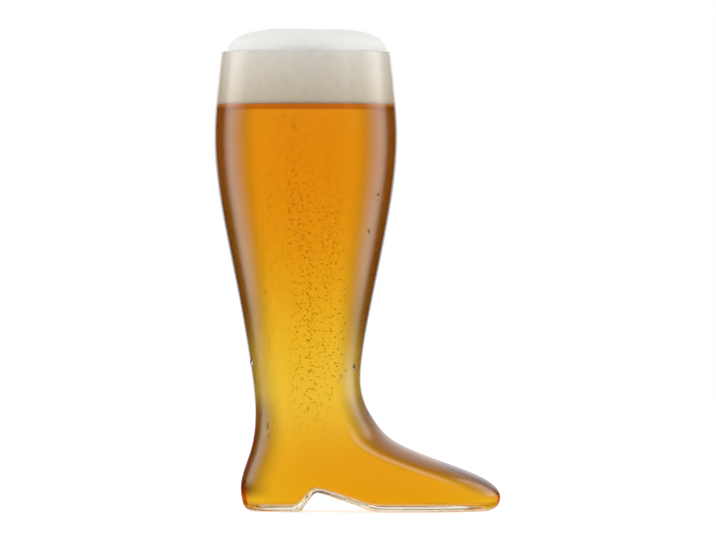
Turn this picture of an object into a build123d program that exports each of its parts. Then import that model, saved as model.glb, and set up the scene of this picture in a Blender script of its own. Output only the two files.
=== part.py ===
from build123d import *
from math import atan2, cos, degrees, radians, sin
import os

# A beer boot: one piece of blown glass in the shape of a riding boot, with the beer and froth that
# fill it and a few drops of condensation. Millimetres, +Z up, toe towards +X, and alike on both
# sides of Y = 0. The origin is on the table, in the middle of the boot's length.
# A reach is a distance from the leg's upright axis, and a height is counted from the table.

# Back of the boot, from the table up
heel_base_reach = 42.2
heel_height = 16.0
heel_reach = 45.3
counter_height = 41.0
counter_reach = 38.7
hollow_height = 69.5
hollow_reach = 35.1

# Front of the boot, from the table up
toe_base_reach = 130.5
toe_tip_height = 7.5
toe_reach = 134.4
toe_cap_height = 15.5
toe_cap_reach = 132.2
vamp_height = 24.0
vamp_reach = 120.5
instep_height = 35.2
instep_reach = 92.0
bend_height = 47.0
bend_reach = 63.7
tongue_height = 60.0
tongue_reach = 49.4
shaft_height = 76.0
shaft_reach = 40.4

# Sides of the foot, and the fullness of its outline seen from above
sole_half_width = 40.0
foot_width_height = 15.0
foot_half_width = 42.5
waist_height = 55.0
waist_half_width = 37.4
ball_shift = 1.3        # how far the widest place moves to the toe, 1 being the middle
end_fullness = 0.22     # how much squarer than an ellipse the toe and heel are

# Leg, round about its axis: each rise is counted from the level before it
ankle_height = 104.0
ankle_radius = 38.7
shin_rise = 41.0
shin_radius = 45.8
knee_rise = 55.0
knee_radius = 56.8
calf_rise = 59.5
calf_radius = 63.2
collar_rise = 28.5
collar_radius = 61.5
rim_rise = 29.0
rim_radius = 58.4

# Glass
wall = 3.0
base = 5.0              # thickness under the heel and the sole
arch_wall = 4.2         # thickness over the arch
sole_round = 4.5
floor_round = 4.0
lip_edge = 0.25         # how much flatter than a half circle the lip is

# Arch between the heel and the sole, with X counted from the leg's axis
heel_breast_x = -3.4
arch_top_x = 6.4
arch_top = 14.8         # where the arch's two slopes would meet, before rounding
arch_round = 7.5
sole_start_x = 47.5
heel_edge_round = 1.2
sole_blend = 24.0       # radius that eases the arch into the sole
ground_gap = 0.05       # the roundings start this far below the table, so that they cut cleanly

# Fill
froth_depth = 37.5      # from the rim down to the beer
crown_step = 0.4        # from the glass in to the crown's edge
crown_shoulder_radius = 46.0
crown_shoulder = 9.8    # heights of the crown above the rim
crown_crest_radius = 24.0
crown_crest = 15.2
crown_middle = 13.6

# Drops: X from the leg's axis, height, width and length of each
drop_clearance = 0.05   # from the glass to each drop
drops = [
    (-37.2, 102.8, 3.2, 5.5),
    (24.2, 93.2, 2.2, 3.6),
    (33.2, 99.4, 2.8, 5.0),
    (22.1, 89.7, 1.6, 2.2),
    (43.3, 192.7, 2.4, 4.0),
    (49.7, 217.4, 1.9, 5.2),
    (-26.2, 59.3, 2.4, 5.6),
    (-25.5, 52.4, 2.2, 3.4),
]

# The loft's level sections
round_sections = 4
foot_sections = 15
leg_sections = 9
line_samples = 40
circle_pull = 0.5523    # handle length of a cubic curve that draws a quarter circle

shin_height = ankle_height + shin_rise
knee_height = shin_height + knee_rise
calf_height = knee_height + calf_rise
collar_height = calf_height + collar_rise
rim_height = collar_height + rim_rise
beer_level = rim_height - froth_depth

leg_points = [
    (ankle_radius, ankle_height),
    (shin_radius, shin_height),
    (knee_radius, knee_height),
    (calf_radius, calf_height),
    (collar_radius, collar_height),
    (rim_radius, rim_height),
]
back_points = [
    (heel_base_reach, 0),
    (heel_reach, heel_height),
    (counter_reach, counter_height),
    (hollow_reach, hollow_height),
]
front_points = [
    (toe_base_reach, 0),
    (toe_reach, toe_tip_height),
    (toe_cap_reach, toe_cap_height),
    (vamp_reach, vamp_height),
    (instep_reach, instep_height),
    (bend_reach, bend_height),
    (tongue_reach, tongue_height),
    (shaft_reach, shaft_height),
]
side_points = [
    (sole_half_width, 0),
    (foot_half_width, foot_width_height),
    (waist_half_width, waist_height),
]


def outline(points):
    """A smooth line up the boot, drawn in the X Z plane, through the given reaches and heights."""
    return Spline(*[(reach, 0, height) for reach, height in points + leg_points])


def inner(line):
    """The line on the inside of the glass: the outer line moved square to itself by the wall."""
    steps = [i / line_samples for i in range(line_samples + 1)]
    return Spline(*[line @ t + Vector(-(line % t).Z, 0, (line % t).X) * wall for t in steps])


def reach_at(line, height):
    """The reach of a line at one height, found by halving, because the line only climbs."""
    low, high = 0.0, 1.0
    for _ in range(40):
        middle = (low + high) / 2
        if (line @ middle).Z < height:
            low = middle
        else:
            high = middle
    return (line @ low).X


def section(lines, height, inset):
    """The level outline at one height: a circle on the leg, drawn out to a shoe at the foot."""
    back, front, half = [reach_at(line, height) - inset for line in lines]
    widest = ball_shift * (front - back) / 2
    pull = circle_pull + end_fullness * (front - back) / (front + back)
    toe_handle = widest + pull * (front - widest)
    heel_handle = widest - pull * (widest + back)
    across = pull * half
    right = Bezier((widest, -half), (toe_handle, -half), (front, -across), (front, 0))
    left = Bezier((front, 0), (front, across), (toe_handle, half), (widest, half))
    heel_left = Bezier((widest, half), (heel_handle, half), (-back, across), (-back, 0))
    heel_right = Bezier((-back, 0), (-back, -across), (heel_handle, -half), (widest, -half))
    return Pos(0, 0, height) * make_face([right, left, heel_left, heel_right])


def boot_form(lines, bottom, bottom_round, clearance=0):
    """The solid inside three lines, or outside them by a clearance, from a flat bottom with a rounded
    edge up to the rim."""
    turns = [radians(90 * i / round_sections) for i in range(round_sections)]
    levels = [(bottom + bottom_round * (1 - cos(turn)), bottom_round * (1 - sin(turn))) for turn in turns]
    side_start = bottom + bottom_round
    for i in range(foot_sections):
        levels.append((side_start + (ankle_height - side_start) * (i / foot_sections) ** 1.3, 0))
    for i in range(leg_sections + 1):
        levels.append((ankle_height + (rim_height - ankle_height) * i / leg_sections, 0))
    return loft([section(lines, height, inset - clearance) for height, inset in levels])


def arch_profile():
    """The opening under the foot, seen from the side, with its top and both ends rounded."""
    heel_end = heel_breast_x - 4 * heel_edge_round
    sole_end = sole_start_x + sole_blend
    corners = Polyline(
        (heel_end, -base),
        (heel_end, -ground_gap),
        (heel_breast_x, -ground_gap),
        (arch_top_x, arch_top),
        (sole_start_x, -ground_gap),
        (sole_end, -ground_gap),
        (sole_end, -base),
        close=True,
    )
    face = make_face(Plane.XZ * corners)
    roundings = [
        (arch_top_x, arch_top, arch_round),
        (heel_breast_x, -ground_gap, heel_edge_round),
        (sole_start_x, -ground_gap, sole_blend),
    ]
    for x, height, radius in roundings:
        corner = face.vertices().sort_by_distance((x, 0, height))[0]
        face = fillet(corner, radius)
    return face


# Outer form and hollow

outer_lines = [outline(back_points), outline(front_points), outline(side_points)]
form = boot_form(outer_lines, 0, sole_round)
inner_lines = [inner(line) for line in outer_lines]
hollow = boot_form(inner_lines, base, floor_round)
opening = arch_profile()
arch = extrude(opening, calf_radius, both=True)
hollow -= extrude(offset(opening, arch_wall), calf_radius, both=True)

# Glass

boot_glass = form - arch - hollow
lip_radius = wall / 2 + lip_edge
lip_middle = rim_radius - wall / 2
around_lip = Pos(lip_middle, rim_height) * Rectangle(4 * lip_radius, 2 * lip_radius)
bead = Pos(lip_middle, rim_height - lip_radius) * Circle(lip_radius)
boot_glass -= revolve(Plane.XZ * (around_lip - bead), Axis.Z)

# Beer and froth

beer = split(hollow, Plane.XY.offset(beer_level), keep=Keep.BOTTOM)
froth_top = rim_height - lip_radius
collar = split(hollow, Plane.XY.offset(beer_level), keep=Keep.TOP)
collar = split(collar, Plane.XY.offset(froth_top), keep=Keep.BOTTOM)
crown_radius = reach_at(inner_lines[0], froth_top) - crown_step
crown_line = Spline(
    (crown_radius, 0, froth_top),
    (crown_shoulder_radius, 0, rim_height + crown_shoulder),
    (crown_crest_radius, 0, rim_height + crown_crest),
    (0, 0, rim_height + crown_middle),
    tangents=[(-0.3, 0, 1), (-1, 0, 0)],
)
crown_base = Polyline((0, 0, rim_height + crown_middle), (0, 0, froth_top), (crown_radius, 0, froth_top))
crown = revolve(make_face([crown_line] + crown_base.edges()), Axis.Z)
foam_head = collar + crown

# Drops

drop_wall = boot_form(outer_lines, 0, sole_round, drop_clearance)


def drop(x, height, width, length):
    """One drop hanging on the glass: fuller at the bottom, and cut to the wall that it clings to."""
    hits = drop_wall.find_intersection_points(Axis((x, 0, height), (0, 1, 0)))
    seat = min([point for point, _ in hits], key=lambda point: point.Y)
    inwards = degrees(atan2(-seat.Y, -seat.X))
    side = Spline(
        (0, 0, length * 0.55),
        (width / 2, 0, -length * 0.12),
        (0, 0, -length * 0.45),
        tangents=[(0.6, 0, -1), (-1, 0, 0)],
    )
    axis = Line((0, 0, -length * 0.45), (0, 0, length * 0.55))
    body = revolve(make_face([side, axis]), Axis.Z)
    return Pos(seat) * Rot(0, 0, inwards) * body - drop_wall


water_drops = [drop(*sizes) for sizes in drops]

# The boot's length is centred on the origin, and every piece moves with it

box = form.bounding_box()
centred = Pos(-(box.min.X + box.max.X) / 2, 0, 0)
pieces = {
    "boot_glass": boot_glass,
    "beer": beer,
    "foam_head": foam_head,
    "water_drops": Compound(water_drops),
}
os.makedirs("parts", exist_ok=True)
for name, piece in pieces.items():
    export_step(centred * piece, f"parts/{name}.step")
    print(name, round(piece.volume), "mm3")
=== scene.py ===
# %% [markdown]
# # A beer boot in Blender
# The boot is one thick-walled piece of blown glass, filled with lager under a crown of froth. The
# CAD model brings its frame: four solids at their real size, in metres. This lesson dresses that
# frame. Each solid gets a finer stand-in, because light bends through every ripple of a glass
# wall, and the flat triangles of a CAD mesh would show as facets.

# %% Load the frame
import math
import random

import bmesh
import bpy
import numpy as np
from mathutils import Matrix, Vector, noise


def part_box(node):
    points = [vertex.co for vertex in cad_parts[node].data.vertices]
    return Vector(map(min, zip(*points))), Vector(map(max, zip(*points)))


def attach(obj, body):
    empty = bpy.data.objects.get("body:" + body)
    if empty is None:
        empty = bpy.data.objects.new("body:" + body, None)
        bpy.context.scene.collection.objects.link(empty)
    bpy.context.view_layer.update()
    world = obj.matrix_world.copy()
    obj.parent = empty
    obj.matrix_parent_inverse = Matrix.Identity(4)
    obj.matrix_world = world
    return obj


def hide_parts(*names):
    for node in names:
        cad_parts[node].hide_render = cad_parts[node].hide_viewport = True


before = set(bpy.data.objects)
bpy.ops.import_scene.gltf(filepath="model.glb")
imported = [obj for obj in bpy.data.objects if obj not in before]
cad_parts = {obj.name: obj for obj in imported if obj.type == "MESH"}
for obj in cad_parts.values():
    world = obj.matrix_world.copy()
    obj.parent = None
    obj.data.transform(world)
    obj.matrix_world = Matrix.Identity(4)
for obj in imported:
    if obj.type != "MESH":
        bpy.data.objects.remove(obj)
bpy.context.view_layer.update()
print("nodes:", sorted(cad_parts))

# %% [markdown]
# ## The boot's lines
# A boot is drawn by three lines that climb from the table to the rim: its back, its front and its
# half width. Each is a few points of height and reach, where reach is the distance from the leg's
# axis. A curve tool could join them, but a spline written as a function of height is easier to
# ask for the reach and the slope anywhere, and the slope is what gives the glass its even wall.

# %% Lines of the boot
LEG = [(0.104, 0.0387), (0.145, 0.0458), (0.200, 0.0568)]
LEG += [(0.2595, 0.0632), (0.288, 0.0615), (0.317, 0.0584)]
BACK = [(0.0, 0.0422), (0.016, 0.0453), (0.041, 0.0387), (0.0695, 0.0351)] + LEG
FRONT = [(0.0, 0.1305), (0.0075, 0.1344), (0.0155, 0.1322), (0.024, 0.1205), (0.0352, 0.0920)]
FRONT += [(0.047, 0.0637), (0.060, 0.0494), (0.076, 0.0404)] + LEG
SIDE = [(0.0, 0.0400), (0.015, 0.0425), (0.055, 0.0374)] + LEG


def smooth_line(points):
    """The natural cubic spline through the points, as a function from height to reach and slope."""
    heights, reaches = np.array(points).T
    steps = np.diff(heights)
    slopes = np.diff(reaches) / steps
    rows = np.eye(len(points))
    turns = np.zeros(len(points))
    for i in range(1, len(points) - 1):
        rows[i, i - 1:i + 2] = steps[i - 1], 2 * (steps[i - 1] + steps[i]), steps[i]
        turns[i] = 6 * (slopes[i] - slopes[i - 1])
    bends = np.linalg.solve(rows, turns)

    def at(height):
        i = int(np.clip(np.searchsorted(heights, height) - 1, 0, len(steps) - 1))
        step = steps[i]
        above = heights[i + 1] - height
        below = height - heights[i]
        lead = reaches[i] / step - bends[i] * step / 6
        trail = reaches[i + 1] / step - bends[i + 1] * step / 6
        curve = bends[i] * above ** 3 + bends[i + 1] * below ** 3
        reach = curve / (6 * step) + lead * above + trail * below
        slope = (bends[i + 1] * below ** 2 - bends[i] * above ** 2) / (2 * step) - lead + trail
        return reach, slope

    return at


lines = [smooth_line(BACK), smooth_line(FRONT), smooth_line(SIDE)]
RIM = LEG[-1][0]
glass_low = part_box("boot_glass")[0]
axis_x = glass_low[0] + max(reach for _, reach in LEG)
BEER_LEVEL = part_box("beer")[1][2]
print("leg axis at x =", round(axis_x, 5), "and beer up to", round(BEER_LEVEL, 4))

# %% [markdown]
# ## Level sections
# Cut level, the leg is a circle and the foot is a shoe sole that is fuller at its ends than an
# ellipse. Four cubic curves draw both: with handles of the well known length 0.5523 they make a
# circle, and longer handles square the ends. The widest place moves to the ball of the foot as
# the section grows longer.

# %% Section of the boot
CIRCLE_PULL = 0.5523
END_FULLNESS = 0.22
BALL_SHIFT = 1.3


def section(height, inset):
    """A function from a turn of 0 to 1 to a point on the level outline, moved in by the inset."""
    here = [line(height) for line in lines]
    back, front, half = [reach - inset * math.hypot(1, slope) for reach, slope in here]
    widest = BALL_SHIFT * (front - back) / 2
    pull = CIRCLE_PULL + END_FULLNESS * (front - back) / (front + back)
    ends = [front, -back]
    handles = [widest + pull * (end - widest) for end in ends]

    def point(turn):
        quarter = int(turn * 4) % 4
        t = turn * 4 - int(turn * 4)
        toe = quarter in (0, 3)
        end = ends[0] if toe else ends[1]
        handle = handles[0] if toe else handles[1]
        if quarter in (1, 3):
            t = 1 - t
        weights = (1 - t) ** 3, 3 * t * (1 - t) ** 2, 3 * t * t * (1 - t), t ** 3
        x = sum(w * v for w, v in zip(weights, (end, end, handle, widest)))
        y = sum(w * v for w, v in zip(weights, (0, pull * half, half, half)))
        return Vector((axis_x + x, y if quarter < 2 else -y, height))

    return point


# %% [markdown]
# ## Rings
# Every round piece here is made the same way: one circle of edges is extruded from station to
# station, and each new ring of vertices is moved onto its outline. Each vertex remembers its turn
# in a layer that the extrude copies along, so a ring always lands without a twist. A cap is a few
# more rings, shrunk towards the middle, and the last ring is merged to one point.

# %% Extrude a ring through stations
def shrunk(outline, share, middle):
    """The outline drawn towards a middle point, for the rings of a cap."""
    return lambda turn: middle.lerp(outline(turn), share)


def cap(outline, middle, rings):
    """The outlines of a cap, from near its middle to its edge."""
    return [shrunk(outline, (i + 1) / rings, middle) for i in range(rings)]


def ring_mesh(stations, segments):
    """A closed skin through the stations, whose first and last rings are merged to points."""
    mesh = bmesh.new()
    turn = mesh.verts.layers.float.new("turn")
    station_layer = mesh.verts.layers.float.new("station")
    verts = bmesh.ops.create_circle(mesh, segments=segments, radius=1)["verts"]
    for i, vert in enumerate(verts):
        vert[turn] = i / segments
        vert.co = stations[0](vert[turn])
    first = verts
    edges = list(mesh.edges)
    for number, outline in enumerate(stations[1:], start=1):
        made = bmesh.ops.extrude_edge_only(mesh, edges=edges)["geom"]
        verts = [part for part in made if isinstance(part, bmesh.types.BMVert)]
        new_ring = set(verts)
        edges = [part for part in made if isinstance(part, bmesh.types.BMEdge)]
        edges = [edge for edge in edges if all(vert in new_ring for vert in edge.verts)]
        for vert in verts:
            vert.co = outline(vert[turn])
            vert[station_layer] = number
    for ring in (first, verts):
        middle = sum((v.co for v in ring), Vector()) / len(ring)
        bmesh.ops.pointmerge(mesh, verts=ring, merge_co=middle)
    return mesh


def finished(mesh, name):
    """A bmesh made an object with smooth faces that point outwards."""
    bmesh.ops.recalc_face_normals(mesh, faces=mesh.faces)
    for face in mesh.faces:
        face.smooth = True
    data = bpy.data.meshes.new(name)
    mesh.to_mesh(data)
    mesh.free()
    piece = bpy.data.objects.new(name, data)
    bpy.context.scene.collection.objects.link(piece)
    print(name, len(data.polygons), "faces")
    return piece


# %% [markdown]
# ## The arch under the foot
# The boot stands on its heel and its sole, with an arch between them. On the real glass the mould
# presses the arch up into the bottom, so here it is pressed too: the boot is first made with a
# flat bottom, its mesh is made finer round the arch, and then every low vertex is lifted, less
# and less towards the ankle. Two slopes and a soft minimum draw the arch, and the same formula,
# moved out by the thickness of the glass, lifts the floor inside.

# %% Press the arch
HEEL_BREAST = -0.0034
ARCH_TOP_X = 0.0064
ARCH_TOP = 0.0148
SOLE_START = 0.0475
ARCH_SOFT = 0.0045
SOFT_GROWTH = 0.8
ARCH_END_SOFT = 0.0012
ARCH_WALL = 0.0042
PRESS_TOP = 0.034
FINE_BEHIND = 0.010
FINE_AHEAD = 0.004
LONG_EDGE = 0.0006


def arch_height(x, grow):
    """Height of the arch at a distance x from the leg's axis, moved out from itself by grow."""
    heel_slope = ARCH_TOP / (ARCH_TOP_X - HEEL_BREAST)
    sole_slope = ARCH_TOP / (SOLE_START - ARCH_TOP_X)
    heel = (x - HEEL_BREAST) * heel_slope + grow * math.hypot(1, heel_slope)
    sole = (SOLE_START - x) * sole_slope + grow * math.hypot(1, sole_slope)
    soft = ARCH_SOFT + grow * SOFT_GROWTH
    return (heel + sole - math.hypot(heel - sole, soft)) / 2


def press_arch(bottom, grow, chosen):
    """Lifts the chosen vertices over the arch, most at the bottom and not at all at PRESS_TOP."""
    for vert in chosen:
        if vert.co.z < PRESS_TOP:
            over = arch_height(vert.co.x - axis_x, grow) - bottom
            lift = (over + math.hypot(over, ARCH_END_SOFT)) / 2
            vert.co.z += lift * (PRESS_TOP - vert.co.z) / (PRESS_TOP - bottom)


def refine_foot(mesh):
    """Cuts the long edges round the arch, so that it has a smooth curve to take."""
    low = axis_x + HEEL_BREAST - FINE_BEHIND
    high = axis_x + SOLE_START + FINE_AHEAD
    near = [
        edge for edge in mesh.edges
        if all(v.co.z < PRESS_TOP and low < v.co.x < high for v in edge.verts)
        and abs(edge.verts[0].co.x - edge.verts[1].co.x) > LONG_EDGE
    ]
    bmesh.ops.subdivide_edges(mesh, edges=near, cuts=2, use_grid_fill=True)


# %% [markdown]
# ## Glass
# The wall is 3 mm thick and the bottom 5 mm, and the lip is rounded over. The skin goes from the
# middle of the bottom, out over the rounded edge of the sole, up the outside, over the lip, down
# the inside and in to the middle of the floor. A Solidify modifier could give the wall, but the
# wall has to be thicker at the bottom, and the inside needs a rounded corner of its own.

# %% Make the glass
WALL = 0.003
BASE = 0.005
SOLE_ROUND = 0.0045
FLOOR_ROUND = 0.004
SEGMENTS = 192
SIDE_STEPS = 96
LIP_STEPS = 10
CAP_RINGS = 22
FOOT_CROWDING = 1.25
FOOT_MIDDLE = axis_x + 0.045


def climb(low, high, steps):
    """Heights from low to high, closer together in the foot where the outline changes fast."""
    return [low + (high - low) * (i / steps) ** FOOT_CROWDING for i in range(steps + 1)]


def rounded_bottom(bottom, radius, inset, steps=8):
    """Sections round the lower corner: from flat at the bottom to upright at one radius above it."""
    sections = []
    for i in range(steps):
        turn = math.radians(90 * i / steps)
        height = bottom + radius * (1 - math.cos(turn))
        sections.append(section(height, inset + radius * (1 - math.sin(turn))))
    return sections


def skin(bottom, radius, inset, top, steps):
    """Stations from the middle of a boot-shaped bottom up to the level of the top."""
    corner = rounded_bottom(bottom, radius, inset)
    flat = cap(corner[0], Vector((FOOT_MIDDLE, 0, bottom)), CAP_RINGS)
    sides = [section(height, inset) for height in climb(bottom + radius, top, steps)]
    return flat + corner[1:] + sides


def make_glass():
    """The whole glass. Its wet inner wall has a material of its own, because it meets no air."""
    lip = WALL / 2
    outside = skin(0, SOLE_ROUND, 0, RIM - lip, SIDE_STEPS)
    inside = skin(BASE, FLOOR_ROUND, WALL, RIM - lip, SIDE_STEPS)
    over_lip = []
    for i in range(1, LIP_STEPS):
        turn = math.radians(180 * i / LIP_STEPS)
        over_lip.append(section(RIM - lip, lip * (1 - math.cos(turn))))
    mesh = ring_mesh(outside + over_lip + inside[::-1], SEGMENTS)
    station = mesh.verts.layers.float["station"]
    for vert in mesh.verts:
        along = vert[station] - len(outside) + 1
        if 0 < along < LIP_STEPS:
            vert.co.z += lip * math.sin(math.radians(180 * along / LIP_STEPS))
    refine_foot(mesh)
    middle = len(outside) + LIP_STEPS / 2
    for face in mesh.faces:
        inner = all(v[station] > middle for v in face.verts)
        face.material_index = 1 if inner and face.calc_center_median().z < BEER_LEVEL else 0
    press_arch(0, 0, [v for v in mesh.verts if v[station] < middle])
    press_arch(BASE, ARCH_WALL, [v for v in mesh.verts if v[station] > middle])
    return finished(mesh, "blown_glass")


blown_glass = make_glass()

# %% [markdown]
# ## Beer
# The beer fills the hollow up to the froth. Its skin reaches a hair into the glass: where the two
# surfaces overlap, a ray passes from glass to beer with no film of air between, as it does in a
# full glass. A gap would act as a mirror near the edges. Just under the froth the beer is crowded
# with bubbles and looks darker, so its top few millimetres are a layer of their own.

# %% Make the beer
OVERLAP = 0.00015
CROWDED = 0.0038
BEER_TOP = BEER_LEVEL - CROWDED
BEER_STEPS = 90
LID_RINGS = 8
HAIR = 0.00003


def lid(level, inset):
    """The rings of a level lid, from its edge to its middle."""
    return cap(section(level, inset), Vector((axis_x, 0, level)), LID_RINGS)[::-1]


def make_beer():
    bottom = BASE - OVERLAP
    inset = WALL - OVERLAP
    sides = skin(bottom, FLOOR_ROUND, inset, BEER_TOP, BEER_STEPS)
    mesh = ring_mesh(sides + lid(BEER_TOP, inset)[1:], SEGMENTS)
    refine_foot(mesh)
    press_arch(bottom, ARCH_WALL - OVERLAP, list(mesh.verts))
    return finished(mesh, "lager")


def make_top_layer():
    inset = WALL - OVERLAP
    mesh = ring_mesh(lid(BEER_TOP + HAIR, inset)[::-1] + lid(BEER_LEVEL, inset), SEGMENTS)
    return finished(mesh, "lager_top")


lager = make_beer()
lager_top = make_top_layer()

# %% [markdown]
# ## Froth
# A thick head stands on the beer and swells over the rim in an uneven crown. Its collar touches
# the glass, so it takes the glass's own sections. The crown is a dome of rings with a steep
# shoulder, and a few layers of noise from the mathutils module push it into soft lumps.

# %% Make the froth
CROWN_SHARES = (0, 0.15, 0.3, 0.5, 0.75, 1)
CROWN_REACHES = (0.0549, 0.0539, 0.0508, 0.0430, 0.0245, 0)
CROWN_RISES = (-0.0015, 0.0030, 0.0073, 0.0116, 0.0150, 0.0139)
CROWN_OUT = smooth_line(list(zip(CROWN_SHARES, CROWN_REACHES)))
CROWN_UP = smooth_line(list(zip(CROWN_SHARES, CROWN_RISES)))
CROWN_LEAN = 0.016
LEAN_RISE = 6
LUMP_RISE = 8
LUMPS = [(30, 0.0016), (80, 0.0007), (220, 0.00022)]
LUMP_SEED = Vector((3.1, 7.7, 1.9))
COLLAR_BELOW_RIM = 0.0018
COLLAR_STEPS = 24
CROWN_STEPS = 44
FROTH_SEGMENTS = 256
FLOOR_RINGS = 6


def crown_point(share, turn):
    """A point on the crown, where share goes from 0 at its edge to 1 in its middle."""
    angle = 2 * math.pi * turn
    out = Vector((math.cos(angle), math.sin(angle), 0))
    lean = 1 + CROWN_LEAN * math.cos(angle) * min(1, share * LEAN_RISE)
    point = Vector((axis_x, 0, RIM + CROWN_UP(share)[0])) + out * CROWN_OUT(share)[0] * lean
    lump = sum(noise.noise(point * scale + LUMP_SEED) * size for scale, size in LUMPS)
    point += (out * (1 - share) + Vector((0, 0, share))) * lump * min(1, share * LUMP_RISE)
    return point


def make_froth():
    low = BEER_LEVEL + HAIR
    inset = WALL - OVERLAP
    top = RIM - COLLAR_BELOW_RIM
    collar = [section(low + (top - low) * i / COLLAR_STEPS, inset) for i in range(COLLAR_STEPS + 1)]
    floor = cap(collar[0], Vector((axis_x, 0, low)), FLOOR_RINGS)
    crown = [lambda turn, share=i / CROWN_STEPS: crown_point(share, turn) for i in range(CROWN_STEPS)]
    mesh = ring_mesh(floor + collar[1:] + crown, FROTH_SEGMENTS)
    return finished(mesh, "froth_head")


froth_head = make_froth()

# %% [markdown]
# ## Bubbles
# Gas rises through the beer in strings of fine bubbles, mostly up the middle of the leg. Each
# bubble is a small icosphere of a few faces. They are made in one mesh, with a fixed seed so that
# every run gives the same beer. The sizes below come in pairs: the least that each can be, and
# how much more it can be.

# %% Make the bubbles
STRINGS = 62
STRING_COLUMN = 0.026
STRING_CROWDING = 0.7
STRING_START, START_SPREAD = 0.035, 0.16
STRING_LENGTH, LENGTH_SPREAD = 0.03, 0.15
BUBBLE_SPACING, SPACING_SPREAD = 0.0035, 0.0045
BUBBLE_RADIUS, RADIUS_SPREAD = 0.00026, 0.00022
BUBBLE_SWAY = (0.0018, 0.0018, 0.0012)
BUBBLE_SEED = 12
CLEAR_OF_TOP = 0.002


def make_bubbles():
    draw = random.Random(BUBBLE_SEED)
    mesh = bmesh.new()
    for _ in range(STRINGS):
        angle = 2 * math.pi * draw.random()
        radius = STRING_COLUMN * draw.random() ** STRING_CROWDING
        height = STRING_START + START_SPREAD * draw.random()
        top = height + STRING_LENGTH + LENGTH_SPREAD * draw.random()
        spacing = BUBBLE_SPACING + SPACING_SPREAD * draw.random()
        size = BUBBLE_RADIUS + RADIUS_SPREAD * draw.random() ** 2
        while height < min(top, BEER_TOP - CLEAR_OF_TOP):
            sway = Vector([draw.gauss(0, reach) for reach in BUBBLE_SWAY])
            place = Vector((axis_x + radius * math.cos(angle), radius * math.sin(angle), height))
            made = bmesh.ops.create_icosphere(mesh, subdivisions=1, radius=size)["verts"]
            bmesh.ops.translate(mesh, verts=made, vec=place + sway)
            height += spacing
    return finished(mesh, "bubbles")


bubbles = make_bubbles()

# %% [markdown]
# ## Drops of condensation
# A few larger drops hang on the cold glass. They are shaped like the CAD drops that they replace:
# fuller at the bottom, drawn out at the top, and flat where they touch the wall. The flat side is
# just inside the glass, so that light passes from water to glass with no air between.

# %% Make the drops
DROPS = [
    (-0.0372, 0.1028, 0.0032, 0.0055),
    (0.0242, 0.0932, 0.0022, 0.0036),
    (0.0332, 0.0994, 0.0028, 0.0050),
    (0.0221, 0.0897, 0.0016, 0.0022),
    (0.0433, 0.1927, 0.0024, 0.0040),
    (0.0497, 0.2174, 0.0019, 0.0052),
    (-0.0262, 0.0593, 0.0024, 0.0056),
    (-0.0255, 0.0524, 0.0022, 0.0034),
]
DROP_SUNK = 0.0001
DROP_PROUD = 0.42
DROP_TAPER = 0.42
DROP_SWELL = 0.06
TURN_STEP = 0.004
HALVINGS = 40


def wall_turn(x, height):
    """The turn at which the outline on the near side reaches x, found by halving."""
    outline = section(height, 0)
    low, high = 0.5, 1.0
    for _ in range(HALVINGS):
        middle = (low + high) / 2
        if outline(middle).x < axis_x + x:
            low = middle
        else:
            high = middle
    return low


def make_drops():
    mesh = bmesh.new()
    for x, height, width, length in DROPS:
        outline = section(height, 0)
        turn = wall_turn(x, height)
        seat = outline(turn)
        along = outline(turn + TURN_STEP) - outline(turn - TURN_STEP)
        out = along.cross(Vector((0, 0, 1))).normalized()
        made = bmesh.ops.create_uvsphere(mesh, u_segments=24, v_segments=16, radius=1)["verts"]
        for vert in made:
            flow = vert.co.z
            taper = 1 - DROP_TAPER * max(0, flow) ** 1.5 + DROP_SWELL * max(0, -flow)
            across = along.normalized() * vert.co.x * width / 2 * taper
            proud = max(0, vert.co.y) * width * DROP_PROUD * taper - DROP_SUNK
            vert.co = seat + across + out * proud + Vector((0, 0, flow * length / 2))
    return finished(mesh, "condensation_drops")


condensation_drops = make_drops()

# %% [markdown]
# ## Shader maths
# A material is easier to read as a formula than as a web of nodes. The small class below wraps a
# socket: adding or multiplying two of them adds a Math node, and its node method makes every
# other kind.

# %% A socket that does sums
class Wire:
    """One output socket of a node tree, with the operators that shader maths needs."""

    def __init__(self, tree, socket=None):
        self.tree = tree
        self.socket = socket

    def node(self, kind, settings=None, inputs=None, output=0):
        """Adds a node, with its settings made first, then its inputs, and wraps one of its outputs."""
        made = self.tree.nodes.new(kind)
        for key, value in (settings or {}).items():
            setattr(made, key, value)
        for key, value in (inputs or {}).items():
            if isinstance(value, Wire):
                self.tree.links.new(value.socket, made.inputs[key])
            else:
                made.inputs[key].default_value = value
        return Wire(self.tree, made.outputs[output] if made.outputs else None)

    def math(self, operation, *values):
        """One Math node on wires or numbers."""
        return self.node("ShaderNodeMath", {"operation": operation}, dict(enumerate(values)))

    def __add__(self, other):
        return self.math("ADD", self, other)

    def __rsub__(self, other):
        return self.math("SUBTRACT", other, self)

    def __mul__(self, other):
        return self.math("MULTIPLY", self, other)

    __radd__ = __add__

    def between(self, low, high):
        """0 below low, 1 above high and a smooth step between."""
        limits = {"Value": self, "From Min": low, "From Max": high}
        return self.node("ShaderNodeMapRange", {"interpolation_type": "SMOOTHSTEP"}, limits)

    def mix(self, first, second):
        """A colour between two others, with this value as the share of the second."""
        made = self.tree.nodes.new("ShaderNodeMix")
        made.data_type = "RGBA"
        self.tree.links.new(self.socket, made.inputs["Factor"])
        for key, colour in (("A", first), ("B", second)):
            socket = next(s for s in made.inputs if s.name == key and s.type == "RGBA")
            if isinstance(colour, Wire):
                self.tree.links.new(colour.socket, socket)
            else:
                socket.default_value = colour
        return Wire(self.tree, next(s for s in made.outputs if s.type == "RGBA"))


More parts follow.
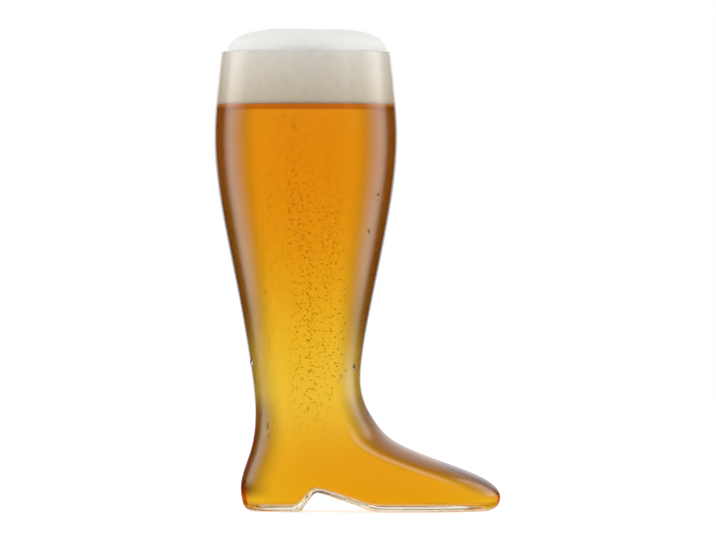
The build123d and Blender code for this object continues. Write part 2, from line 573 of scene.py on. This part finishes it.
def new_finish(name):
    """An empty material, and a wire to start its nodes from."""
    material = bpy.data.materials.new(name)
    material.use_nodes = True
    material.node_tree.nodes.clear()
    return material, Wire(material.node_tree)


def object_place(start):
    """The place that a shader colours, in the frame of the boot."""
    return start.node("ShaderNodeTexCoord", output="Object")


def height_of(start):
    """The height of the place that a shader colours."""
    return start.node("ShaderNodeSeparateXYZ", None, {"Vector": object_place(start)}, "Z")


def grain(start, scale, detail):
    """Soft noise with so many features to the metre."""
    settings = {"Vector": object_place(start), "Scale": scale, "Detail": detail}
    return start.node("ShaderNodeTexNoise", None, settings, "Fac")


def cells(start, scale):
    """How far each place is from the middle of its cell, with so many cells to the metre."""
    settings = {"Vector": object_place(start), "Scale": scale}
    return start.node("ShaderNodeTexVoronoi", None, settings, "Distance")


def surface(start, settings, volume=None):
    """A Principled surface, and a volume where there is one, joined to the material's output."""
    shader = start.node("ShaderNodeBsdfPrincipled", None, settings)
    ends = {"Surface": shader}
    if volume:
        ends["Volume"] = volume
    start.node("ShaderNodeOutputMaterial", None, ends)


# %% [markdown]
# ## Glass finish
# Clear glass with a faint mist of condensation. The mist can't be a rough surface, because that
# would blur the beer as well, so it is a rough coat: a weak second gloss that catches the side
# lights in broad milky bands. Seen edge on, a full glass bends light round from the dark of the
# room and looks brown. That shade is painted: the Layer Weight node tells how squarely a surface
# is looked at, and takes the wall's colour from clear to a painted brown shade beside the beer,
# with less of it at the ankle. The wet wall inside has no mist, and a painted amber light at the
# foot, standing in for warm light from the table.

# %% Glass
WHITE = (1, 1, 1, 1)
GLASS = (0.985, 0.99, 0.985, 1)
GLASS_IOR = 1.5
BEER_IOR = 1.333
# Painted shade: the brown that a full glass seen edge on bends round from the dark room, and how much
# of it there is, and where.
PAINTED_EDGE_SHADE = (0.08, 0.026, 0.005, 1)
EDGE_SHADE_SHARE = 0.87
EDGE_START = 0.36
EDGE_START_ON_LEG = 0.12
EDGE_FULL = 0.98
BASE_FADE = (0.008, 0.016)
FROTH_FADE = (BEER_LEVEL - 0.003, BEER_LEVEL + 0.001)
LEG_FADE = (0.05, 0.1)
ANKLE_FADE_IN = (0.065, 0.085)
ANKLE_FADE_OUT = (0.1, 0.14)
# Less painted edge shade at the ankle.
ANKLE_LESS_SHADE = 0.35
# Painted light: warm light from the table, put on the wet glass at the foot as an amber colour.
FOOT_PAINTED_LIGHT = (0.95, 0.75, 0.17, 1)
FOOT_LIGHT_FADE = (0.025, 0.085)
MOULD_WAVES = 30.0
MIST_GRAIN = 900.0
MIST_PATCHES = 38.0
FINE_SHARE = 0.35
PATCH_SHARE = 0.35
EVEN_SHARE = 0.3
MIST_SHARE = 0.45
MIST_ROUGHNESS = 0.28


def edge_on(start):
    """0 where a surface is looked at squarely, and 1 where it is seen edge on."""
    square = 1 - start.node("ShaderNodeLayerWeight", None, {"Blend": 0.5}, "Facing")
    return start.math("SQRT", 1 - square * square)


def wall_with_painted_edge_shade(start):
    """Clear where the wall is looked through squarely, and a painted brown shade at its outline beside
    the beer, with less of it at the ankle.
    """
    height = height_of(start)
    above_base = height.between(*BASE_FADE)
    below_froth = 1 - height.between(*FROTH_FADE)
    ankle = height.between(*ANKLE_FADE_IN) * (1 - height.between(*ANKLE_FADE_OUT))
    begin = EDGE_START + height.between(*LEG_FADE) * EDGE_START_ON_LEG
    seen = edge_on(start).between(begin, EDGE_FULL) * (above_base * below_froth)
    # Painted shade: the wall's colour darkens to brown towards its outline.
    light = 1 - seen * (EDGE_SHADE_SHARE - ankle * ANKLE_LESS_SHADE)
    return (1 - light * light).mix(GLASS, PAINTED_EDGE_SHADE)


def lining_with_painted_foot_light(start):
    """Clear beside the leg, and a painted amber light at the foot, standing in for warm light from the
    table on the beer.
    """
    return height_of(start).between(*FOOT_LIGHT_FADE).mix(FOOT_PAINTED_LIGHT, GLASS)


def mist(start):
    """The settings of a coat of fine mist that lies in patches."""
    fine = grain(start, MIST_GRAIN, 2.0).between(0.35, 0.65)
    patches = grain(start, MIST_PATCHES, 3.0).between(0.3, 0.7)
    fog = fine * FINE_SHARE + patches * PATCH_SHARE + EVEN_SHARE
    return {"Coat Weight": fog * MIST_SHARE, "Coat Roughness": MIST_ROUGHNESS}


def glass_finish(name, ior, colour, misted):
    """Smooth glass with the faint waves of a mould, in a colour, with or without mist."""
    material, start = new_finish(name)
    waves = {"Height": grain(start, MOULD_WAVES, 1.0), "Strength": 0.05, "Distance": 0.002}
    surface(start, {
        "Base Color": colour(start),
        "Roughness": 0.01,
        "IOR": ior,
        "Transmission Weight": 1.0,
        "Normal": start.node("ShaderNodeBump", None, waves),
        **(mist(start) if misted else {}),
    })
    return material


clear_glass = glass_finish("clear_glass", GLASS_IOR, wall_with_painted_edge_shade, True)
wet_glass = glass_finish("wet_glass", GLASS_IOR / BEER_IOR, lining_with_painted_foot_light, False)
print("glass:", clear_glass.name, "outside and", wet_glass.name, "inside")

# %% [markdown]
# ## Beer finish
# Beer has no paint. Its colour is light that was lost on the way through: blue goes within a
# centimetre, green over a decimetre and red hardly at all, so the thin ankle is yellow and the
# wide calf amber. An absorbing volume does just that.

# %% Beer
LAGER = (0.975, 0.83, 0.02, 1)
LAGER_DENSITY = 54.0
CROWDED_LAGER = (0.93, 0.77, 0.02, 1)
CROWDED_DENSITY = 68.0


def see_through(colour, ior):
    """The settings of a smooth surface that light passes through."""
    return {"Base Color": colour, "Roughness": 0.0, "IOR": ior, "Transmission Weight": 1.0}


def beer_finish(name, colour, density):
    """A liquid that takes its share of each colour on the way through."""
    material, start = new_finish(name)
    lost = start.node("ShaderNodeVolumeAbsorption", None, {"Color": colour, "Density": density})
    surface(start, see_through(WHITE, 1.0), lost)
    return material


lager_finish = beer_finish("lager", LAGER, LAGER_DENSITY)
top_finish = beer_finish("crowded_lager", CROWDED_LAGER, CROWDED_DENSITY)
print("beer:", lager_finish.name, "under", top_finish.name)

# %% [markdown]
# ## Froth finish
# Froth is a foam of tiny bubbles: dull, warm white, tan in random clouds, with a few larger
# cells that stand open as specks. Lower down it is painted more tan, as warm light from the beer
# below, and at the beer's level it is painted dark, as shade under the froth.

# %% Froth
CREAM = (0.93, 0.89, 0.82, 1)
TAN = (0.80, 0.71, 0.55, 1)
# Painted light: warm light from the beer below, as more tan lower down in the froth.
BEER_LIGHT_FADE = (BEER_LEVEL - 0.004, RIM + 0.002)
BEER_LIGHT_TAN = 0.8
TAN_BY_CLOUD = 0.2
CROWN_WHITE = (0.745, 0.74, 0.725, 1)
CROWN_FADE = (RIM - 0.004, RIM + 0.002)
# Painted shade: the froth's underside, dark brown where it meets the beer.
UNDERSIDE_SHADE = (0.55, 0.30, 0.11, 1)
UNDERSIDE_SHADE_FADE = (BEER_LEVEL - 0.001, BEER_LEVEL + 0.0035)
UNDERSIDE_SHADE_SHARE = 0.7
OPEN_CELL = (0.50, 0.40, 0.27, 1)
OPEN_SHARE = 0.3
CLOUDS = 160.0
OPEN_CELLS = 380.0
FINE_CELLS = 850.0


def froth_finish():
    """Cream to tan with the height as painted warm light from the beer, painted shade at the beer,
    white on the crown, and pocked with open cells.
    """
    material, start = new_finish("froth")
    height = height_of(start)
    clouds = grain(start, CLOUDS, 4.0)
    beer_lit = 1 - height.between(*BEER_LIGHT_FADE)
    underside_shade = 1 - height.between(*UNDERSIDE_SHADE_FADE)
    open_cells = (1 - cells(start, OPEN_CELLS).between(0.1, 0.25)) * clouds.between(0.48, 0.6)
    tan = beer_lit * BEER_LIGHT_TAN + clouds.between(0.4, 0.7) * TAN_BY_CLOUD
    colour = tan.mix(CREAM, TAN)
    colour = height.between(*CROWN_FADE).mix(colour, CROWN_WHITE)
    colour = (underside_shade * UNDERSIDE_SHADE_SHARE).mix(colour, UNDERSIDE_SHADE)
    colour = (open_cells * OPEN_SHARE).mix(colour, OPEN_CELL)
    bump = {"Height": cells(start, FINE_CELLS) + clouds, "Strength": 0.35, "Distance": 0.0006}
    normal = start.node("ShaderNodeBump", None, bump)
    surface(start, {"Base Color": colour, "Roughness": 0.75, "IOR": 1.33, "Normal": normal})
    return material


froth = froth_finish()
print("froth:", len(froth.node_tree.nodes), "nodes")

# %% [markdown]
# ## Bubbles and drops
# A bubble seen against a light is a dark ring, because its edge bends the light away. Here that
# shade is painted: each bubble is coloured dark amber. A drop is plain water, with a painted dark
# outline for the same reason.

# %% Water and gas
# Painted shade: the dark that a bubble's edge makes by bending light away.
BUBBLE_PAINTED_SHADE = (0.16, 0.075, 0.012, 1)
# Painted shade at a drop's outline.
DROP_EDGE = (0.3, 0.85)
DROP_SHADE_SHARE = 0.92


def gas_finish():
    """Painted dark amber shade all over a bubble, which is too small to show more."""
    material, start = new_finish("bubble_gas")
    surface(start, see_through(BUBBLE_PAINTED_SHADE, BEER_IOR))
    return material


def water_finish():
    """Clear in the middle of a drop, and a painted dark shade at its outline."""
    material, start = new_finish("water")
    dark = edge_on(start).between(*DROP_EDGE) * DROP_SHADE_SHARE
    surface(start, see_through(dark.mix(WHITE, PAINTED_EDGE_SHADE), BEER_IOR))
    return material


# %% [markdown]
# ## Dress the pieces
# Every piece rides on the boot's one body. The table lists beside each finish the slot of the
# record that it belongs to. Four of the pieces replace a CAD solid each.

# %% Give each piece its finish
finishes = {
    blown_glass: (clear_glass, "clear_glass", "boot_glass"),
    lager: (lager_finish, "beer", "beer"),
    lager_top: (top_finish, "beer", None),
    froth_head: (froth, "froth", "foam_head"),
    bubbles: (gas_finish(), "beer", None),
    condensation_drops: (water_finish(), "water", "water_drops"),
}
for piece, (material, slot, node) in finishes.items():
    piece.data.materials.append(material)
    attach(piece, "root")
    if node:
        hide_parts(node)
blown_glass.data.materials.append(wet_glass)
print("finishes:", [material.name for material, _, _ in finishes.values()])

# %% [markdown]
# ## Studio
# Glass shows what is around it, so the studio is drawn for each kind of ray. The camera sees
# plain white. A reflection sees a warm dark room, with white only at the very back. Light that
# falls on the froth and the floor is plain white from all round.

# %% White world with a dark room in its reflections
ROOM = (0.15, 0.042, 0.0, 1)
WORLD_LIGHT = 0.85
LOW_BACK = (20, 27)
HIGH_BACK = (15, 80)
LOW_TO_HIGH = (8, 25)


def ray(start, name):
    """One fact about the ray that meets a surface, such as whether it comes from the camera."""
    return start.node("ShaderNodeLightPath", output=name)


def unscattered(start):
    """1 for a ray that has met only glass so far, and 0 after a dull surface."""
    return 1 - start.math("MINIMUM", ray(start, "Diffuse Depth"), 1.0)


def angles(start):
    """How far a ray looks to the side of the line from front to back, and how far up, in degrees."""
    way = {"Vector": start.node("ShaderNodeTexCoord", output="Generated")}
    x, y, z = [start.node("ShaderNodeSeparateXYZ", None, way, part) for part in "XYZ"]
    side = start.math("ARCTAN2", start.math("ABSOLUTE", x), y)
    return side * (180 / math.pi), start.math("ARCSINE", z) * (180 / math.pi)


def mirrored_dark(start):
    """How much of the dark room a reflection sees: none of it at the back, and less of it higher up."""
    side, rise = angles(start)
    high = rise.between(*LOW_TO_HIGH)
    behind = side.between(*LOW_BACK) * (1 - high) + side.between(*HIGH_BACK) * high
    mirrored = ray(start, "Is Glossy Ray") * (1 - ray(start, "Is Transmission Ray"))
    return mirrored * behind * unscattered(start)


def make_world():
    world = bpy.data.worlds.new("studio")
    bpy.context.scene.world = world
    world.use_nodes = True
    world.node_tree.nodes.clear()
    start = Wire(world.node_tree)
    seen = start.math("MAXIMUM", ray(start, "Is Camera Ray"), ray(start, "Is Glossy Ray"))
    seen = start.math("MAXIMUM", seen, ray(start, "Is Transmission Ray"))
    colour = mirrored_dark(start).mix(WHITE, ROOM)
    strength = seen * (1 - WORLD_LIGHT) + WORLD_LIGHT
    shader = start.node("ShaderNodeBackground", None, {"Color": colour, "Strength": strength})
    start.node("ShaderNodeOutputWorld", None, {"Surface": shader})


make_world()

# %% [markdown]
# The floor is white for the camera and keeps the boot's shadow. Reflections don't see it, and nor
# does the glass: a ring of screen stands round the boot for the rays that have passed through it.
# The ring is white, with a faint warm tint beside the calf.

# %% Floor and ring
FLOOR_RADIUS = 4.0
FLOOR_BELOW = 0.0003
FLOOR_PAINT = (0.9, 0.9, 0.9, 1)
FLOOR_GLOW = 0.7
CALF_WARM = (0.96, 0.80, 0.5, 1)
CALF_FADE_IN = (0.11, 0.24)
CALF_FADE_OUT = (0.275, 0.29)
RING_RADIUS = 0.2
RING_TALL = 0.64


def only_seen_by(piece, *rays):
    """Hides a stage piece from every kind of ray but the named ones."""
    for kind in ("camera", "diffuse", "glossy", "transmission", "shadow", "volume_scatter"):
        setattr(piece, "visible_" + kind, kind in rays)


def put_on_stage(mesh, name, start, material, shader, *rays):
    """Makes a stage piece of a mesh and one shader, for the named kinds of ray."""
    piece = finished(mesh, name)
    start.node("ShaderNodeOutputMaterial", None, {"Surface": shader})
    piece.data.materials.append(material)
    only_seen_by(piece, *rays)


def make_floor():
    mesh = bmesh.new()
    bmesh.ops.create_circle(mesh, cap_ends=True, segments=64, radius=FLOOR_RADIUS)
    bmesh.ops.translate(mesh, verts=mesh.verts, vec=(0, 0, -FLOOR_BELOW))
    material, start = new_finish("white_floor")
    paint = start.node("ShaderNodeBsdfDiffuse", None, {"Color": FLOOR_PAINT})
    shown = ray(start, "Is Camera Ray") * FLOOR_GLOW
    glow = start.node("ShaderNodeEmission", None, {"Strength": shown})
    both = start.node("ShaderNodeAddShader", None, {0: paint, 1: glow})
    put_on_stage(mesh, "floor", start, material, both, "camera", "diffuse", "shadow")


def make_ring():
    mesh = bmesh.new()
    size = {"radius1": RING_RADIUS, "radius2": RING_RADIUS, "depth": RING_TALL}
    made = bmesh.ops.create_cone(mesh, segments=96, **size)
    bmesh.ops.translate(mesh, verts=made["verts"], vec=(axis_x, 0, 0))
    material, start = new_finish("ring_screen")
    height = height_of(start)
    calf = height.between(*CALF_FADE_IN) * (1 - height.between(*CALF_FADE_OUT))
    glow = start.node("ShaderNodeEmission", None, {"Color": calf.mix(WHITE, CALF_WARM)})
    clear = start.node("ShaderNodeBsdfTransparent")
    both = start.node("ShaderNodeMixShader", None, {0: unscattered(start), 1: clear, 2: glow})
    put_on_stage(mesh, "ring", start, material, both, "transmission")


make_floor()
make_ring()

# %% [markdown]
# Three lamps of even brightness light the froth: a soft box at each side, and a large one above.

# %% Soft boxes
BOX_AWAY = 0.40
BOX_RADIANCE = 1.8
BOX_SIZE = (0.32, 0.38)
BOX_HEIGHT = 0.46
BOX_BACK = -0.12
TOP_RADIANCE = 0.3
TOP_SIZE = (1.3, 1.3)
TOP_HEIGHT = 1.5


def make_soft_box(name, size, radiance, place, turn):
    """A flat lamp whose brightness is the same at any size."""
    lamp = bpy.data.lights.new(name, "AREA")
    lamp.shape = "RECTANGLE"
    lamp.size, lamp.size_y = size
    lamp.energy = radiance * math.pi * size[0] * size[1]
    box = bpy.data.objects.new(name, lamp)
    box.location = place
    box.rotation_euler = turn
    only_seen_by(box, "diffuse", "transmission", "shadow")
    bpy.context.scene.collection.objects.link(box)


for side, name in ((-1, "left_box"), (1, "right_box")):
    place = (axis_x + side * BOX_AWAY, BOX_BACK, BOX_HEIGHT)
    turn = (math.radians(90), 0, math.radians(90 * side))
    make_soft_box(name, BOX_SIZE, BOX_RADIANCE, place, turn)
make_soft_box("top_box", TOP_SIZE, TOP_RADIANCE, (axis_x, 0, TOP_HEIGHT), (0, 0, 0))

# %% [markdown]
# In the glass the lamps would show as hard-edged strips, so reflections don't see them. What the
# glass mirrors is a card at each side, bright in the middle and fading to its edges, and one
# long oval card above the foot.

# %% Cards that the glass mirrors
CARD_RADIANCE = 2.2
CARD_FRONT = -0.13
CARD_MIDDLE = 0.08
CARD_BACK = 0.26
CARD_TOP = 0.62
CARD_FADE_LOW = 0.08
CARD_FADE_HIGH = 0.4
KEY_PLACE = Vector((0.235, -0.193, 0.52))
KEY_TARGET = Vector((0.03, -0.038, 0.033))
KEY_WIDE = 0.13
KEY_TALL = 0.40
KEY_RADIANCE = 2.2


def quad(mesh, *corners):
    """One flat face through four corners."""
    bmesh.ops.contextual_create(mesh, geom=[mesh.verts.new(corner) for corner in corners])


def added_light(start, level):
    """Light on top of what is behind it, so that a card has no dark edge."""
    glow = start.node("ShaderNodeEmission", None, {"Strength": level})
    clear = start.node("ShaderNodeBsdfTransparent")
    return start.node("ShaderNodeAddShader", None, {0: glow, 1: clear})


def make_cards():
    mesh = bmesh.new()
    corners = ((CARD_FRONT, 0), (CARD_BACK, 0), (CARD_BACK, CARD_TOP), (CARD_FRONT, CARD_TOP))
    for side in (-1, 1):
        quad(mesh, *[(axis_x + side * BOX_AWAY, y, z) for y, z in corners])
    material, start = new_finish("graded_card")
    deep = start.node("ShaderNodeSeparateXYZ", None, {"Vector": object_place(start)}, "Y")
    level = deep.between(CARD_FRONT, CARD_MIDDLE) * (1 - deep.between(CARD_MIDDLE, CARD_BACK))
    height = height_of(start)
    level = level * height.between(0.0, CARD_FADE_LOW) * (1 - height.between(CARD_FADE_HIGH, CARD_TOP))
    level = level * CARD_RADIANCE
    put_on_stage(mesh, "cards", start, material, added_light(start, level), "glossy")


def make_key():
    mesh = bmesh.new()
    bmesh.ops.create_circle(mesh, cap_ends=True, segments=32, radius=1)
    bmesh.ops.scale(mesh, verts=mesh.verts, vec=(KEY_WIDE, KEY_TALL, 1))
    aim = (KEY_TARGET - KEY_PLACE).to_track_quat("Z", "Y").to_matrix()
    bmesh.ops.transform(mesh, verts=mesh.verts, matrix=Matrix.Translation(KEY_PLACE) @ aim.to_4x4())
    material, start = new_finish("oval_card")
    offset = {0: object_place(start), 1: KEY_PLACE}
    offset = start.node("ShaderNodeVectorMath", {"operation": "SUBTRACT"}, offset)
    shares = []
    for way, reach in ((aim.col[0], KEY_WIDE), (aim.col[1], KEY_TALL)):
        along = {0: offset, 1: way / reach}
        shares.append(start.node("ShaderNodeVectorMath", {"operation": "DOT_PRODUCT"}, along, "Value"))
    wide, tall = shares
    level = (1 - start.math("SQRT", wide * wide + tall * tall).between(0.0, 1.0)) * KEY_RADIANCE
    put_on_stage(mesh, "key_card", start, material, added_light(start, level), "glossy")


make_cards()
make_key()

# %% [markdown]
# ## Camera
# The picture was taken from far away and level with the middle of the leg: the rim and the sole
# are both seen almost edge on. A long lens gives the same flat view.

# %% Camera
CAMERA_AWAY = 5.0
CAMERA_HEIGHT = 0.1662
CAMERA_X = 0.0004
PIXEL = 0.00069
PICTURE_WIDTH = 716 * PIXEL
BOUNCES = 80
lens = bpy.data.cameras.new("camera")
lens.lens = lens.sensor_width * CAMERA_AWAY / PICTURE_WIDTH
lens.clip_end = 100
camera = bpy.data.objects.new("camera", lens)
camera.location = (CAMERA_X, -CAMERA_AWAY, CAMERA_HEIGHT)
camera.rotation_euler = (math.radians(90), 0, 0)
bpy.context.scene.collection.objects.link(camera)
bpy.context.scene.camera = camera
bpy.context.scene.view_settings.view_transform = "Standard"
bpy.context.scene.cycles.max_bounces = BOUNCES
bpy.context.scene.cycles.transmission_bounces = BOUNCES
bpy.context.scene.cycles.glossy_bounces = BOUNCES
print("lens", round(lens.lens), "mm")
